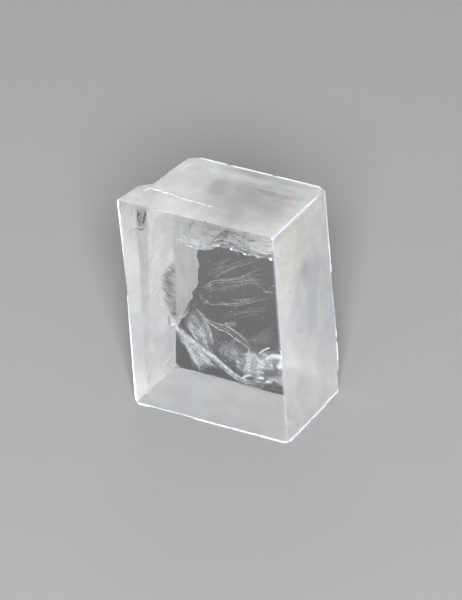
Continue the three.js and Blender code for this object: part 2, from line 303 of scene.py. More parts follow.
@dataclass(frozen=True)
class Spot:
    """A soft round patch of the crystal.

    Args:
        place: its middle.
        reach: how far it reaches, in millimetres.
    """

    place: Place
    reach: float


class Board:
    """Adds nodes to one tree."""

    def __init__(self, tree: bpy.types.NodeTree, output: str) -> None:
        """Empties a tree and adds its output.

        Args:
            tree: the node tree.
            output: the type of its output node.
        """
        self.tree = tree
        self.tree.nodes.clear()
        self.output = self.tree.nodes.new(output)

    def node(self, kind: str, settings: dict | None = None, **sockets: object) -> bpy.types.Node:
        """Adds a node.

        Args:
            kind: the node's type.
            settings: its settings, such as an operation.
            sockets: values or links of its sockets, with spaces written as underscores.

        Returns:
            The node.
        """
        node = self.tree.nodes.new(kind)
        for name, value in (settings or {}).items():
            setattr(node, name, value)
        for name, value in sockets.items():
            self.feed(node.inputs[name.replace("_", " ")], value)
        return node

    def feed(self, socket: Socket, value: object) -> None:
        """Links or sets a socket.

        Args:
            socket: the input socket.
            value: a signal, an output socket or a plain value.
        """
        if isinstance(value, Signal):
            value = value.socket
        if isinstance(value, Socket):
            self.tree.links.new(value, socket)
        else:
            socket.default_value = value

    def signal(self, socket: Socket) -> Signal:
        """Wraps a socket for arithmetic."""
        return Signal(self.tree, socket)

    def position(self) -> Socket:
        """Object coordinates, in metres."""
        return self.node("ShaderNodeTexCoord").outputs["Object"]

    def _measured(self, operation: str, first: Socket, second: Vector) -> Signal:
        """One number from two vectors.

        Args:
            operation: what is measured.
            first: a vector's socket.
            second: a vector.

        Returns:
            The number.
        """
        node = self.node("ShaderNodeVectorMath", {"operation": operation})
        self.feed(node.inputs[0], first)
        self.feed(node.inputs[1], second)
        return self.signal(node.outputs["Value"])

    def along(self, direction: Vector, origin: Vector) -> Signal:
        """How far the surface point lies along a direction from an origin, in metres."""
        return self._measured("DOT_PRODUCT", self.position(), direction) - origin.dot(direction)

    def near(self, spot: Spot) -> Signal:
        """A soft ball: 1 in the middle of a spot, 0 from its reach on."""
        distance = self._measured("DISTANCE", self.position(), LATTICE.point(*spot.place))
        return distance.rise(spot.reach * MM, 0.0)

    def facing(self, face: Face) -> Signal:
        """The cosine between the surface's own normal and the normal of a face."""
        normal = self.node("ShaderNodeNewGeometry").outputs["True Normal"]
        return self._measured("DOT_PRODUCT", normal, LATTICE.normal(face))

    def _noise(self, at: Socket, scale: float, detail: float, roughness: float) -> Signal:
        """Soft noise on given coordinates."""
        node = self.node("ShaderNodeTexNoise", Vector=at, Scale=scale, Detail=detail, Roughness=roughness)
        return self.signal(node.outputs["Fac"])

    def noise(self, size: float, detail: float = 3.0, roughness: float = 0.55) -> Signal:
        """Soft noise, mostly between 0.3 and 0.7.

        Args:
            size: the size of its patches, in metres.
            detail: how many finer layers it has.
            roughness: how strong the finer layers are.

        Returns:
            The noise.
        """
        return self._noise(self.position(), 1 / size, detail, roughness)

    def strokes(self, direction: Vector, long: float, fine: float, detail: float = 3.0,
                roughness: float = 0.55) -> Signal:
        """The same noise drawn out into strokes that run in one direction.

        Args:
            direction: the way the strokes run.
            long: the length of one stroke, in metres.
            fine: its width.
            detail: how many finer layers the noise has.
            roughness: how strong the finer layers are.

        Returns:
            The noise.
        """
        turn = direction.to_track_quat("X", "Z").to_euler()
        grain = self.node(
            "ShaderNodeMapping", {"vector_type": "TEXTURE"}, Vector=self.position(), Rotation=turn,
            Scale=(long, fine, fine),
        )
        return self._noise(grain.outputs[0], 1.0, detail, roughness)

    def blend(self, share: "Signal | float", first: object, second: object) -> Socket:
        """Mixes two colours.

        Args:
            share: how much of the second there is.
            first: a colour or a socket.
            second: a colour or a socket.

        Returns:
            The mixed colour.
        """
        node = self.node("ShaderNodeMix", {"data_type": "RGBA"}, Factor=share)
        for socket, value in zip([s for s in node.inputs if s.type == "RGBA"], (first, second)):
            self.feed(socket, value)
        return next(s for s in node.outputs if s.type == "RGBA")

    def bump(self, height: Signal, depth: float, strength: float) -> Socket:
        """Roughens the surface.

        Args:
            height: the relief, from 0 to 1.
            depth: how deep it is, in metres.
            strength: how much of it shows.

        Returns:
            The normal.
        """
        return self.node("ShaderNodeBump", Height=height, Distance=depth, Strength=strength).outputs[0]

    def surface(self, **sockets: object) -> Socket:
        """One surface of the Principled kind."""
        return self.node("ShaderNodeBsdfPrincipled", **sockets).outputs[0]

    def mix(self, share: Signal, first: Socket, second: Socket) -> Socket:
        """Mixes two surfaces.

        Args:
            share: how much of the second there is.
            first: a surface.
            second: a surface.

        Returns:
            The mixed surface.
        """
        node = self.node("ShaderNodeMixShader", Fac=share)
        self.feed(node.inputs[1], first)
        self.feed(node.inputs[2], second)
        return node.outputs[0]

    def show(self, surface: Socket) -> None:
        """Links what the tree puts out."""
        self.feed(self.output.inputs["Surface"], surface)


def new_material(name: str) -> tuple[Material, Board]:
    """Makes an empty material.

    Args:
        name: its name.

    Returns:
        The material, and the board for its nodes.
    """
    material = bpy.data.materials.new(name)
    material.use_nodes = True
    return material, Board(material.node_tree, "ShaderNodeOutputMaterial")


# Finishes


@dataclass(frozen=True)
class Skin:
    """The milky skin of one face.

    Args:
        haze: how much of the face it covers.
        glow: how much of its light it scatters on through itself.
        sheen: how much it throws back, as white frost does.
    """

    haze: float
    glow: float = 0.0
    sheen: float = 0.0


@dataclass(frozen=True)
class ClearCalcite:
    """Clear calcite: bright cleavage faces under a milky skin, frosted where it is broken.

    Args:
        ior: index of refraction.
        tint: colour of the clear faces.
        milk: colour of the milky skin.
        peach: the warm pearly veils.
        slate: the cool ones, and the streaks on broken facets.
        shadow: the dark spot between them.
        rose: the warm half of the faint rainbow on the top face.
        mint: its cool half.
        absorption: colour that the depth of the crystal leaves.
        density: strength of the absorption, per metre.
        clear_roughness: roughness of the clear faces.
        milky_roughness: roughness of the milky skin.
        clearness: how much light the milky skin lets straight through.
        pit: the size of the skin's pits.
        pit_depth: their depth.
        scratch: the width of its fine upright scratches.
        scratch_length: their length.
        scratch_depth: their depth on the clear faces.
        cloud: the size of the clouds in the skin.
        wisp: the width of the wisps where the top's skin wears thin.
        wisp_length: their length.
        veil: the width of the pearly veils.
        veil_length: their length.
        fleck: the size of the rainbow's flecks.
        worn_rim_highlight: colour of the frosty wearing along the edges, partly a painted bluish rim
            highlight.
        rim_reach: how far from an edge the frosty wearing and the painted rim highlight reach.
        ragged: how unevenly it ends, as a share of that reach.
        step_depth: how deep the little steps on the top face lie.
        step_margin: how far they stay from its edges.
        step_wear_and_highlight: how much of the frosty wearing and the painted highlight they show.
        chip_depth: how deep the chips of the front edges lie, which stay clear.
        peach_spot: where the warm veils lie on the right face.
        slate_spot: where the cool ones lie.
        shadow_spot: where the dark spot lies.
        rainbow_spot: where the rainbow lies on the top face.
        thin_spot: where the top's skin wears thin.
        blunt_spot: the blunt corner low behind on the right, which shines.
        edges: how much frosty wearing and painted rim highlight each edge shows.
        broken: the skin of the broken facets.
        skins: the skin of each cleavage face.
    """

    ior: float = 1.658
    tint: Colour = (0.975, 0.985, 0.99, 1.0)
    milk: Colour = (0.975, 0.97, 0.96, 1.0)
    peach: Colour = (1.0, 0.94, 0.80, 1.0)
    slate: Colour = (0.60, 0.67, 0.76, 1.0)
    shadow: Colour = (0.30, 0.33, 0.38, 1.0)
    rose: Colour = (0.96, 0.74, 0.86, 1.0)
    mint: Colour = (0.62, 0.90, 0.88, 1.0)
    absorption: Colour = (0.80, 0.86, 0.84, 1.0)
    density: float = 3.0
    clear_roughness: float = 0.02
    milky_roughness: float = 0.5
    clearness: float = 0.93
    pit: float = 0.5 * MM
    pit_depth: float = 0.07 * MM
    scratch: float = 0.45 * MM
    scratch_length: float = 9 * MM
    scratch_depth: float = 0.01 * MM
    cloud: float = 7 * MM
    wisp: float = 1.2 * MM
    wisp_length: float = 9 * MM
    veil: float = 3.2 * MM
    veil_length: float = 14 * MM
    fleck: float = 1.6 * MM
    worn_rim_highlight: Colour = (0.60, 0.66, 0.80, 1.0)
    rim_reach: float = 0.55 * MM
    ragged: float = 1.4
    step_depth: float = 0.6 * MM
    step_margin: float = 0.8 * MM
    step_wear_and_highlight: float = 0.35
    chip_depth: float = 1.0 * MM
    peach_spot: Spot = Spot((34.1, 7.0, 36.0), 15.0)
    slate_spot: Spot = Spot((34.1, 15.0, 25.0), 16.0)
    shadow_spot: Spot = Spot((34.1, 10.5, 32.8), 3.4)
    rainbow_spot: Spot = Spot((29.5, 13.0, 45.1), 6.5)
    thin_spot: Spot = Spot((25.5, 17.5, 45.1), 11.0)
    blunt_spot: Spot = Spot((34.1, 21.2, 0.0), 5.0)
    edges: dict[tuple[Face, Face], float] = field(default_factory=lambda: {
        (Face.FRONT, Face.TOP): 0.05,
        (Face.FRONT, Face.RIGHT): 0.12,
        (Face.TOP, Face.RIGHT): 0.35,
        (Face.TOP, Face.BACK): 0.9,
        (Face.RIGHT, Face.BACK): 0.9,
        (Face.FRONT, Face.LEFT): 0.9,
        (Face.FRONT, Face.BOTTOM): 0.6,
        (Face.RIGHT, Face.BOTTOM): 0.8,
        (Face.BACK, Face.BOTTOM): 0.25,
    })
    broken: Skin = Skin(0.95, 0.45, 0.1)
    skins: dict[Face, Skin] = field(default_factory=lambda: {
        Face.FRONT: Skin(0.0),
        Face.BACK: Skin(0.005),
        Face.LEFT: Skin(0.93, 0.15, 0.03),
        Face.RIGHT: Skin(0.96, 0.08, 0.17),
        Face.TOP: Skin(0.92),
        Face.BOTTOM: Skin(1.3, 0.0, 1.0),
    })

    def _under(self, board: Board, face: Face) -> Signal:
        """How deep the surface point lies under the plane of a face, in metres."""
        return board.along(-LATTICE.normal(face), LATTICE.corner_on(face))

    def _pits(self, board: Board) -> Signal:
        """The finest pits, from 0 to 1."""
        return board.noise(self.pit, 4.0, 0.65)

    def _skin(self, board: Board) -> tuple[Signal, Signal, Signal, Signal]:
        """Works out the skin from the face that the surface point lies on.

        Args:
            board: the material's board.

        Returns:
            How milky the surface is, how it glows through, how it throws back, and where it is broken.
        """
        flat, haze, glow, sheen = 0.0, 0.0, 0.0, 0.0
        for face, skin in self.skins.items():
            on_face = board.facing(face).rise(*CLEAVAGE)
            flat = on_face + flat
            haze = on_face * skin.haze + haze
            glow = on_face * skin.glow + glow
            sheen = on_face * skin.sheen + sheen
        rubble = (1.0 - flat).clamped()
        chips = rubble * self._under(board, Face.FRONT).rise(self.chip_depth, 0.5 * self.chip_depth)
        cloud = board.noise(self.cloud, 4.0).rise(0.35, 0.7)
        wisps = board.strokes(LATTICE.directions[0], self.wisp_length, self.wisp).rise(0.4, 0.65)
        thin = 0.45 * board.near(self.thin_spot) * wisps * board.facing(Face.TOP).rise(*SLANTED)
        haze = (haze + rubble * self.broken.haze) * (0.82 + 0.25 * cloud)
        haze = (haze * (1.0 - thin) * (1.0 - 0.4 * chips)).clamped()
        glow = (glow + rubble * self.broken.glow) * (1.0 - chips)
        sheen = (sheen + rubble * self.broken.sheen) * (1.0 - chips)
        return haze, glow, sheen + rubble * board.near(self.blunt_spot), rubble

    def _wear_and_rim_highlight(self, board: Board) -> Signal:
        """Where the edges are frosted white by wearing and carry a painted bluish rim highlight: close to
        two faces at once, and raggedly so.

        Args:
            board: the material's board.

        Returns:
            How much frosty wearing and painted rim highlight it shows, from 0 to 1.
        """
        # Paints a bluish rim highlight along the edges, over their frosty wearing, and a highlight along
        # the top face's little steps.
        ragged = (self._pits(board) - 0.5) * (self.ragged * self.rim_reach)
        near = {face: (self._under(board, face) + ragged).rise(self.rim_reach, 0.2 * self.rim_reach) for face in Face}
        worn_rim_highlight = 0.0
        for (first, second), strength in self.edges.items():
            worn_rim_highlight = near[first] * near[second] * strength + worn_rim_highlight
        return (worn_rim_highlight + self.step_wear_and_highlight * self._steps(board)).clamped()

    def _steps(self, board: Board) -> Signal:
        """The little broken steps across the top face, away from its edges.

        Args:
            board: the material's board.

        Returns:
            A mask that is 1 on the steps.
        """
        slanted = 1.0 - board.facing(Face.TOP).rise(*CLEAVAGE)
        shallow = self._under(board, Face.TOP).rise(self.step_depth, 0.5 * self.step_depth)
        for face in (Face.FRONT, Face.RIGHT, Face.BACK):
            shallow = shallow * self._under(board, face).rise(self.step_margin, 2 * self.step_margin)
        return slanted * shallow

    def _pearl(self, board: Board) -> Socket:
        """The milky skin's colour: faint veils that run up the right face, and a rainbow on the top.

        Args:
            board: the material's board.

        Returns:
            The colour.
        """
        veils = board.strokes(LATTICE.directions[2], self.veil_length, self.veil, 2.0)
        right = board.facing(Face.RIGHT).rise(*SLANTED)
        flecks = board.noise(self.fleck, 1.0)
        rainbow = 0.9 * board.near(self.rainbow_spot) * board.facing(Face.TOP).rise(*SLANTED)
        layers = (
            (veils.rise(0.36, 0.56) * right * board.near(self.peach_spot), self.peach),
            (veils.rise(0.62, 0.4) * right * board.near(self.slate_spot), self.slate),
            (right * board.near(self.shadow_spot), self.shadow),
            (rainbow * flecks.rise(0.52, 0.6), self.rose),
            (rainbow * flecks.rise(0.48, 0.4), self.mint),
        )
        colour = self.milk
        for share, layer in layers:
            colour = board.blend(share.clamped(), colour, layer)
        return colour

    def material(self) -> Material:
        """Builds the material.

        Returns:
            The material.
        """
        material, board = new_material("clear_calcite")
        scratches = board.strokes(LATTICE.directions[2], self.scratch_length, self.scratch)
        haze, glow, sheen, rubble = self._skin(board)
        streaks = (0.5 * rubble * scratches.rise(0.42, 0.62)).clamped()
        milk = board.blend(streaks, self._pearl(board), self.slate)
        clear = board.surface(
            Base_Color=self.tint, Roughness=self.clear_roughness, IOR=self.ior, Transmission_Weight=1.0,
            Normal=board.bump(scratches, self.scratch_depth, 0.5),
        )
        milky = board.surface(
            Base_Color=milk, Roughness=self.milky_roughness, IOR=self.ior,
            Transmission_Weight=self.clearness,
            Normal=board.bump(self._pits(board) + 0.15 * scratches, self.pit_depth, 0.6),
        )
        glowing, dull = (
            board.node("ShaderNodeBsdfTranslucent", Color=colour).outputs[0]
            for colour in (self.milk, self.slate)
        )
        frost = board.surface(Base_Color=WHITE, Roughness=0.5, Metallic=1.0)
        # The bluish rim highlight painted along the edges, over their frosty wearing.
        worn_rim_highlight = board.surface(Base_Color=self.worn_rim_highlight, Roughness=self.milky_roughness)
        through = board.mix(streaks, glowing, dull)
        skin = board.mix(glow * (0.9 + 0.15 * scratches.rise(0.35, 0.6)), milky, through)
        skin = board.mix(sheen, skin, frost)
        board.show(board.mix(self._wear_and_rim_highlight(board), board.mix(haze, clear, skin), worn_rim_highlight))
        volume = board.node("ShaderNodeVolumeAbsorption", Color=self.absorption, Density=self.density)
        board.feed(board.output.inputs["Volume"], volume.outputs[0])
        return material


@dataclass(frozen=True)
class CrackWall:
    """The walls of a crack: silvery in streaks where they have parted, unseen where they still touch.

    Args:
        ior: index of refraction.
        roughness: how rough they are.
        parted: how much of them has parted.
        streak: the width of one streak.
        streak_length: its length.
        patch: the size of the parted patches.
    """

    ior: float = 1.658
    roughness: float = 0.12
    parted: float = 0.35
    streak: float = 0.5 * MM
    streak_length: float = 4 * MM
    patch: float = 4 * MM

    def material(self) -> Material:
        """Builds the material.

        Returns:
            The material.
        """
        material, board = new_material("crack_wall")
        streaks = board.strokes(LATTICE.directions[2], self.streak_length, self.streak, 4.0, 0.6)
        patches = board.noise(self.patch, 2.0).rise(0.42, 0.66)
        touching = board.node("ShaderNodeBsdfTransparent").outputs[0]
        glass = board.surface(Roughness=self.roughness, IOR=self.ior, Transmission_Weight=1.0)
        board.show(board.mix(streaks.rise(0.45, 0.65) * patches * self.parted, touching, glass))
        return material


class Profile(Enum):
    """Where across its width a crack gleams."""

    EVEN = "even"
    SOFT = "soft"


@dataclass(frozen=True)
class FractureSilver:
    """The silvery gleam of a crack inside the crystal, in streaks across its surface.

    Args:
        direction: the way the streaks run.
        cover: how much of the light the crack throws back at its strongest.
        profile: where across its width it gleams.
        roughness: its roughness.
        stroke: the width of one streak.
        stroke_length: its length.
        colour: its colour.
        break_up: how far the streaks part, from 0 for none to 1.
        patchy: how far the gleam breaks into patches, from 0 for none to 1.
        patch_size: the size of one patch.
        fade: the share of its length over which each end fades.
        relief: how deep the streaks stand out.
    """

    direction: Vector
    cover: float
    profile: Profile = Profile.SOFT
    roughness: float = 0.75
    stroke: float = 0.35 * MM
    stroke_length: float = 5 * MM
    colour: Colour = (0.92, 0.94, 0.97, 1.0)
    break_up: float = 1.0
    patchy: float = 0.5
    patch_size: float = 2.2 * MM
    fade: float = 0.15
    relief: float = 0.08 * MM

    def material(self, name: str) -> Material:
        """Builds the material.

        Args:
            name: the piece's name.

        Returns:
            The material.
        """
        material, board = new_material(f"{name}_gleam")
        spread = board.node("ShaderNodeSeparateXYZ", Vector=board.node("ShaderNodeUVMap").outputs[0])
        run, width = (board.signal(socket) for socket in spread.outputs[:2])
        side = (2.0 * width - 1.0).size()
        across = side.rise(1.0, {Profile.EVEN: 0.8, Profile.SOFT: 0.1}[self.profile])
        ends = run.rise(0.0, self.fade) * run.rise(1.0, 1.0 - self.fade)
        streaks = board.strokes(self.direction, self.stroke_length, self.stroke, 4.0, 0.6)
        parted = streaks.rise(0.3, 0.62) * self.break_up + (1.0 - self.break_up)
        patches = board.noise(self.patch_size).rise(0.36, 0.6) * self.patchy + (1.0 - self.patchy)
        board.show(board.surface(
            Base_Color=self.colour, Roughness=self.roughness, Metallic=1.0,
            Alpha=(across * ends * parted * patches * self.cover).clamped(),
            Normal=board.bump(streaks, self.relief, 0.7),
        ))
        return material


@dataclass(frozen=True)
class HairGleam:
    """The broken bright line of a hair crack.

    Args:
        name: the material's name.
        cover: how solid the line is.
        gaps: how much of it is missing, from 0 to 1.
        colour: its colour.
        roughness: its roughness.
        gap_size: the size of one gap.
    """

    name: str = "hair_gleam"
    cover: float = 0.7
    gaps: float = 0.5
    colour: Colour = (0.93, 0.95, 0.97, 1.0)
    roughness: float = 0.7
    gap_size: float = 0.9 * MM

    def material(self) -> Material:
        """Builds the material.

        Returns:
            The material.
        """
        material, board = new_material(self.name)
        shown = board.noise(self.gap_size).rise(0.4, 0.55) * self.gaps + (1.0 - self.gaps)
        board.show(board.surface(
            Base_Color=self.colour, Roughness=self.roughness, Metallic=1.0,
            Alpha=(shown * self.cover).clamped(),
        ))
        return material


@dataclass(frozen=True)
class PaleFloor:
    """A plain matt pale floor.

    Args:
        colour: its colour.
        roughness: its roughness.
    """

    colour: Colour = (0.18, 0.18, 0.18, 1.0)
    roughness: float = 0.9

    def material(self) -> Material:
        """Builds the material.

        Returns:
            The material.
        """
        material, board = new_material("pale_floor")
        board.show(board.surface(Base_Color=self.colour, Roughness=self.roughness))
        return material


# Modelling steps


def select_only(*pieces: Piece) -> None:
    """Selects pieces and nothing else, and makes the first one active.

    Args:
        pieces: the pieces.
    """
    bpy.ops.object.select_all(action="DESELECT")
    for piece in pieces:
        piece.select_set(True)
    bpy.context.view_layer.objects.active = pieces[0]


@contextmanager
def editing(piece: Piece) -> Iterator[bmesh.types.BMesh]:
    """Opens one piece in edit mode with nothing selected.

    Args:
        piece: the piece.

    Yields:
        Its mesh as edit mode holds it, for selecting.
    """
    select_only(piece)
    bpy.ops.object.mode_set(mode="EDIT")
    bpy.ops.mesh.select_mode(type="VERT")
    bpy.ops.mesh.select_all(action="DESELECT")
    yield bmesh.from_edit_mesh(piece.data)
    bpy.ops.object.mode_set(mode="OBJECT")


def apply_modifier(piece: Piece, kind: str, **settings: object) -> None:
    """Adds a modifier to a piece and applies it.

    Args:
        piece: the piece.
        kind: the modifier's type.
        settings: its settings.
    """
    select_only(piece)
    modifier = piece.modifiers.new(kind.lower(), kind)
    for name, value in settings.items():
        setattr(modifier, name, value)
    bpy.ops.object.modifier_apply(modifier=modifier.name)


def duplicate(source: Piece) -> Piece:
    """Copies a piece with its mesh.

    Args:
        source: the piece.

    Returns:
        The copy.
    """
    copy = source.copy()
    copy.data = source.data.copy()
    bpy.context.scene.collection.objects.link(copy)
    return copy


def join(pieces: list[Piece]) -> Piece:
    """Joins pieces into one.

    Args:
        pieces: the pieces.

    Returns:
        The joined piece.
    """
    select_only(*pieces)
    bpy.ops.object.join()
    return bpy.context.object


def hand_over(piece: Piece, name: str, *materials: Material) -> Piece:
    """Names and dresses a piece and lets it ride with the crystal.

    Args:
        piece: the piece.
        name: its name.
        materials: its finishes.

    Returns:
        The piece.
    """
    piece.name = name
    piece.data.materials.clear()
    for material in materials:
        piece.data.materials.append(material)
    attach(piece, BODY)
    log.info("%s: %d faces", name, len(piece.data.polygons))
    return piece


# Pieces


@dataclass(frozen=True)
class Crystal:
    """The crystal itself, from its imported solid.

    Args:
        crack_gap: how far apart the walls of a crack are at most.
        clearance: how far off a wall the look across the gap starts.
        least_depth: how deep in the crystal the ends of a crack lie at least.
        end_area: how large a facet at the end of a crack is at most, in square metres.
        merge: how close together points are one.
        flatness: how far the facets of one flat turn from each other, in degrees.
    """

    crack_gap: float = 0.3 * MM
    clearance: float = 0.01 * MM
    least_depth: float = 0.4 * MM
    end_area: float = 0.8 * MM * MM
    merge: float = 0.002 * MM
    flatness: float = 0.5

    def _is_end(self, facet: bmesh.types.BMFace) -> bool:
        """Whether a facet is small and lies well under all six faces, as the end of a crack does.

        Args:
            facet: the facet.

        Returns:
            True where it does.
        """
        middle = facet.calc_center_median()
        return facet.calc_area() < self.end_area and all(
            (LATTICE.corner_on(face) - middle).dot(LATTICE.normal(face)) > self.least_depth for face in Face
        )

    def _dress_cracks(self, piece: Piece) -> None:
        """Gives the walls of the cracks, which face each other across a narrow gap, their finish.

        Args:
            piece: the crystal, with the walls' finish in its second slot.
        """
        piece.active_material_index = 1
        with editing(piece) as mesh:
            bpy.ops.mesh.select_mode(type="FACE")
            tree = BVHTree.FromBMesh(mesh)
            walls = []
            for facet in mesh.faces:
                start = facet.calc_center_median() + self.clearance * facet.normal
                if tree.ray_cast(start, facet.normal, self.crack_gap)[0] is not None:
                    walls.append(facet)
            known = set(walls)
            while walls:
                for edge in walls.pop().edges:
                    for facet in edge.link_faces:
                        if facet not in known and self._is_end(facet):
                            known.add(facet)
                            walls.append(facet)
            for facet in known:
                facet.select_set(True)
            bpy.ops.object.material_slot_assign()

    def build(self) -> Piece:
        """Copies the solid, merges its flats and dresses it.

        Returns:
            The crystal.
        """
        piece = duplicate(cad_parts[SOLID])
        with editing(piece):
            bpy.ops.mesh.select_all(action="SELECT")
            bpy.ops.mesh.remove_doubles(threshold=self.merge)
            bpy.ops.mesh.dissolve_limited(angle_limit=math.radians(self.flatness))
            bpy.ops.mesh.select_all(action="SELECT")
            bpy.ops.mesh.faces_shade_flat()
        bpy.ops.mesh.customdata_custom_splitnormals_clear()
        hand_over(piece, "clear_rhomb", ClearCalcite().material(), CrackWall().material())
        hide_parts(SOLID)
        self._dress_cracks(piece)
        return piece


@dataclass(frozen=True)
class Crack:
    """A thin crack inside the crystal, ruled between two lines.

    Args:
        name: the piece's name.
        edges: the lines along its near and far edges.
        finish: its finish.
        columns: crossings along it.
        rows: crossings across it.
        buckle: how far it buckles.
        buckle_size: the size of its buckles.
        gap: how thick it is.
    """

    name: str
    edges: Edges
    finish: FractureSilver
    columns: int = 24
    rows: int = 5
    buckle: float = 0.5 * MM
    buckle_size: float = 2.5 * MM
    gap: float = 0.02 * MM

    def build(self) -> Piece:
        """Lays a grid between the two lines, buckles it and gives it its gap.

        Returns:
            The piece.
        """
        bpy.ops.mesh.primitive_grid_add(x_subdivisions=self.columns, y_subdivisions=self.rows, size=1.0)
        piece = bpy.context.object
        near, far = self.edges
        with editing(piece) as mesh:
            for crossing in mesh.verts:
                run, width = crossing.co.x + 0.5, crossing.co.y + 0.5
                place = near.at(run).lerp(far.at(run), width)
                crossing.select_set(True)
                bpy.ops.transform.translate(value=place - crossing.co)
                crossing.select_set(False)
        clouds = bpy.data.textures.new(self.name, "CLOUDS")
        clouds.noise_scale = self.buckle_size
        apply_modifier(piece, "SUBSURF", levels=1, render_levels=1)
        apply_modifier(piece, "DISPLACE", texture=clouds, strength=self.buckle, texture_coords="LOCAL")
        apply_modifier(piece, "SOLIDIFY", thickness=self.gap, offset=0.0)
        return hand_over(piece, self.name, self.finish.material(self.name))


@dataclass(frozen=True)
class Hair:
    """One hair crack.

    Args:
        thick: its thickness, in millimetres.
        strands: how many fine lines it splits into.
        spread: how far apart they lie, in millimetres.
        route: where it runs.
    """

    thick: float
    strands: int
    spread: float
    route: Route


@dataclass(frozen=True)
class HairCracks:
    """Fine lines inside the crystal.

    Args:
        name: the piece's name.
        finish: their finish.
        hairs: the lines.
        sway: how far a line wanders.
        stations: points along each line.
        cut: how much of its route a strand leaves out at each end, at most.
        thinnest: how thin a strand's ends get, as a share of its thickness.
        uneven: the range that its thickness varies over.
    """

    name: str
    finish: HairGleam
    hairs: tuple[Hair, ...]
    sway: float = 0.09 * MM
    stations: int = 26
    cut: float = 0.35
    thinnest: float = 0.15
    uneven: tuple[float, float] = (0.4, 1.3)

    def _strand(self, hair: Hair, dice: random.Random) -> Piece:
        """Draws one strand of a hair crack as a tapering thread.

        Args:
            hair: the hair crack.
            dice: what it wanders by.

        Returns:
            The thread.
        """
        bpy.ops.curve.primitive_nurbs_path_add()
        thread = bpy.context.object
        curve = thread.data
        curve.splines.clear()
        spline = curve.splines.new("POLY")
        spline.points.add(self.stations)
        alone = hair.strands == 1
        first = 0.0 if alone else dice.uniform(0.0, self.cut)
        last = 1.0 if alone else dice.uniform(1.0 - self.cut, 1.0)
        ends = [Vector([dice.gauss(0, 0.5) * hair.spread * MM for _ in range(3)]) for _ in range(2)]
        for index, stop in enumerate(spline.points):
            share = index / self.stations
            wander = Vector([dice.uniform(-self.sway, self.sway) for _ in range(3)])
            place = hair.route.at(first + (last - first) * share) + ends[0].lerp(ends[1], share) + wander
            stop.co = (*place, 1.0)
            stop.radius = max(self.thinnest, math.sin(math.pi * share) ** 0.5) * dice.uniform(*self.uneven)
        curve.bevel_depth = 0.5 * hair.thick * MM
        curve.bevel_resolution = 0
        curve.use_fill_caps = True
        bpy.ops.object.convert(target="MESH")
        return bpy.context.object

    def build(self) -> Piece:
        """Draws the lines and joins them into one piece.

        Returns:
            The piece.
        """
        dice = random.Random(self.name)
        piece = join([self._strand(hair, dice) for hair in self.hairs for _ in range(hair.strands)])
        with editing(piece):
            bpy.ops.mesh.select_all(action="SELECT")
            bpy.ops.mesh.normals_make_consistent(inside=False)
        return hand_over(piece, self.name, self.finish.material())


@dataclass(frozen=True)
class Specks:
    """Tiny bright chips scattered through the crystal.

    Args:
        count: how many there are.
        least: the smallest one's radius.
        most: the largest one's.
        shape: a chip's length, width and thickness, as shares of its length.
        jag: how far its corners are moved at random, as a share of its length.
        region: the stretches of u, v and w that they fill, in millimetres.
        seed: what places them.
    """

    count: int = 140
    least: float = 0.06 * MM
    most: float = 0.18 * MM
    shape: tuple[float, float, float] = (1.0, 0.7, 0.35)
    jag: float = 0.2
    region: tuple[tuple[float, float], ...] = ((9, 32), (3, 19), (5, 40))
    seed: int = 7

    def build(self) -> Piece:
        """Models one chip, copies it through the crystal and joins the copies.

        Returns:
            The piece.
        """
        dice = random.Random(self.seed)
        bpy.ops.mesh.primitive_ico_sphere_add(subdivisions=1, radius=1.0)
        chip = bpy.context.object
        with editing(chip):
            bpy.ops.mesh.select_all(action="SELECT")
            bpy.ops.transform.resize(value=self.shape)
            bpy.ops.transform.vertex_random(offset=self.jag, seed=self.seed)
        chips = []
        for _ in range(self.count):
            place = LATTICE.point(*(dice.uniform(*stretch) for stretch in self.region))
            turn = Matrix.Rotation(dice.uniform(0, math.tau), 4, Vector((dice.random(), dice.random(), 1)))
            scale = Matrix.Scale(dice.uniform(self.least, self.most), 4)
            copy = duplicate(chip)
            copy.matrix_world = Matrix.Translation(place) @ turn @ scale
            chips.append(copy)
        bpy.data.objects.remove(chip)
        piece = join(chips)
        bpy.ops.object.transform_apply(location=True, rotation=True, scale=True)
        return hand_over(piece, "specks", HairGleam("speck_gleam", 1.0, 0.0).material())


